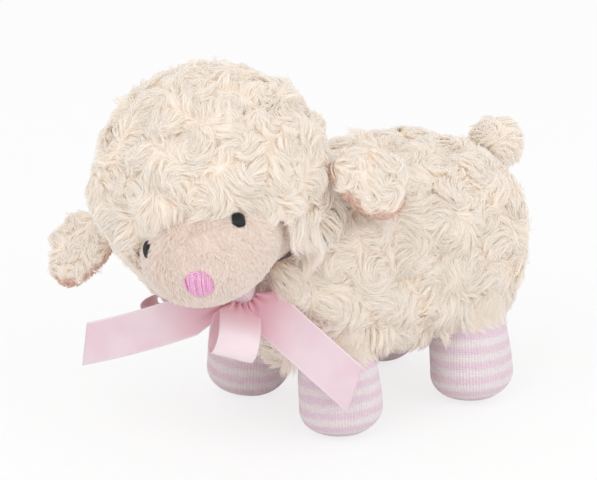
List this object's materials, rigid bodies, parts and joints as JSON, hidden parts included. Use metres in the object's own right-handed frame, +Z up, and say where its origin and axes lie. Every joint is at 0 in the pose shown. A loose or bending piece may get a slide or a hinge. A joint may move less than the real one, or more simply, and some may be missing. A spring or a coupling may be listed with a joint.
{
  "type": "plush sheep",
  "caption": "Stuffed toy sheep standing on short striped legs, curly fleece body and hood, velour face turned to its left, drooping ears, stub tail and a ribbon bow round the neck.",
  "frame": {"origin": "on the ground, under the middle of the bounding box", "axes": "+Z up, +Y towards the tail and -Y towards the chest, +X to the sheep's own left"},
  "size_m": [0.1298, 0.2202, 0.1648],
  "materials": {
    "curly_fleece": "curly cream plush pile",
    "velour_face": "short pale peach velour pile",
    "velour_lining": "short pinkish tan velour pile",
    "knit_sock": "ribbed knit in pink and white stripes",
    "satin_ribbon": "pink satin weave",
    "thread_black": "satin stitched embroidery",
    "thread_pink": "satin stitched embroidery",
    "stuffing": "white polyester fibre"
  },
  "bodies": {
    "torso": {"body_side_left": "curly_fleece", "body_side_right": "curly_fleece", "belly_panel": "curly_fleece", "body_stuffing": "stuffing", "neck_ribbon": "satin_ribbon", "bow_knot": "satin_ribbon", "bow_loop_left": "satin_ribbon", "bow_loop_right": "satin_ribbon"},
    "head": {"hood_left": "curly_fleece", "hood_right": "curly_fleece", "face_cover": "velour_face", "head_stuffing": "stuffing", "eye_left": "thread_black", "eye_right": "thread_black", "nose": "thread_pink"},
    "ear_left": {"ear_left_fleece": "curly_fleece", "ear_left_lining": "velour_lining"},
    "ear_right": {"ear_right_fleece": "curly_fleece", "ear_right_lining": "velour_lining"},
    "tail": {"tail_cover": "curly_fleece", "tail_stuffing": "stuffing"},
    "leg_front_left": {"leg_front_left_sock": "knit_sock", "leg_front_left_stuffing": "stuffing"},
    "leg_front_right": {"leg_front_right_sock": "knit_sock", "leg_front_right_stuffing": "stuffing"},
    "leg_rear_left": {"leg_rear_left_sock": "knit_sock", "leg_rear_left_stuffing": "stuffing"},
    "leg_rear_right": {"leg_rear_right_sock": "knit_sock", "leg_rear_right_stuffing": "stuffing"},
    "ribbon_tail_left": {"ribbon_tail_left": "satin_ribbon"},
    "ribbon_tail_right": {"ribbon_tail_right": "satin_ribbon"}
  },
  "joints": [
    {"name": "head_turn", "type": "hinge", "parent": "torso", "child": "head", "pos_m": [0.00503, -0.03562, 0.089], "axis": [0, -0.6428, 0.766], "range_deg": [-12, 4], "stiffness_Nm_per_rad": 0.12},
    {"name": "ear_left_droop", "type": "hinge", "parent": "head", "child": "ear_left", "pos_m": [0.04196, -0.02384, 0.12634], "axis": [-0.375, 0.6114, 0.6969], "range_deg": [-45, 20], "stiffness_Nm_per_rad": 0.004},
    {"name": "ear_right_droop", "type": "hinge", "parent": "head", "child": "ear_right", "pos_m": [-0.03208, -0.08197, 0.08777], "axis": [0.652, -0.3528, -0.6712], "range_deg": [-30, 45], "stiffness_Nm_per_rad": 0.004},
    {"name": "tail_wag", "type": "hinge", "parent": "torso", "child": "tail", "pos_m": [0.00503, 0.08995, 0.0955], "axis": [1, 0, 0], "range_deg": [-20, 20], "stiffness_Nm_per_rad": 0.01},
    {"name": "leg_front_left_swing", "type": "hinge", "parent": "torso", "child": "leg_front_left", "pos_m": [0.03553, -0.01462, 0.043], "axis": [0.9962, 0, 0.0872], "range_deg": [-8, 8], "stiffness_Nm_per_rad": 0.12},
    {"name": "leg_front_right_swing", "type": "hinge", "parent": "torso", "child": "leg_front_right", "pos_m": [-0.02547, -0.01462, 0.043], "axis": [0.9962, 0, -0.0872], "range_deg": [-8, 8], "stiffness_Nm_per_rad": 0.12},
    {"name": "leg_rear_left_swing", "type": "hinge", "parent": "torso", "child": "leg_rear_left", "pos_m": [0.03553, 0.05838, 0.043], "axis": [0.9962, 0, 0.0872], "range_deg": [-8, 8], "stiffness_Nm_per_rad": 0.12},
    {"name": "leg_rear_right_swing", "type": "hinge", "parent": "torso", "child": "leg_rear_right", "pos_m": [-0.02547, 0.05838, 0.043], "axis": [0.9962, 0, -0.0872], "range_deg": [-8, 8], "stiffness_Nm_per_rad": 0.12},
    {"name": "ribbon_tail_left_lift", "type": "hinge", "parent": "torso", "child": "ribbon_tail_left", "pos_m": [0.02779, -0.0544, 0.06759], "axis": [0.2206, 0.6758, 0.7033], "range_deg": [-10, 0], "stiffness_Nm_per_rad": 0.001},
    {"name": "ribbon_tail_right_lift", "type": "hinge", "parent": "torso", "child": "ribbon_tail_right", "pos_m": [0.02139, -0.06154, 0.06595], "axis": [0.1652, 0.2653, -0.9499], "range_deg": [-20, 10], "stiffness_Nm_per_rad": 0.001}
  ]
}
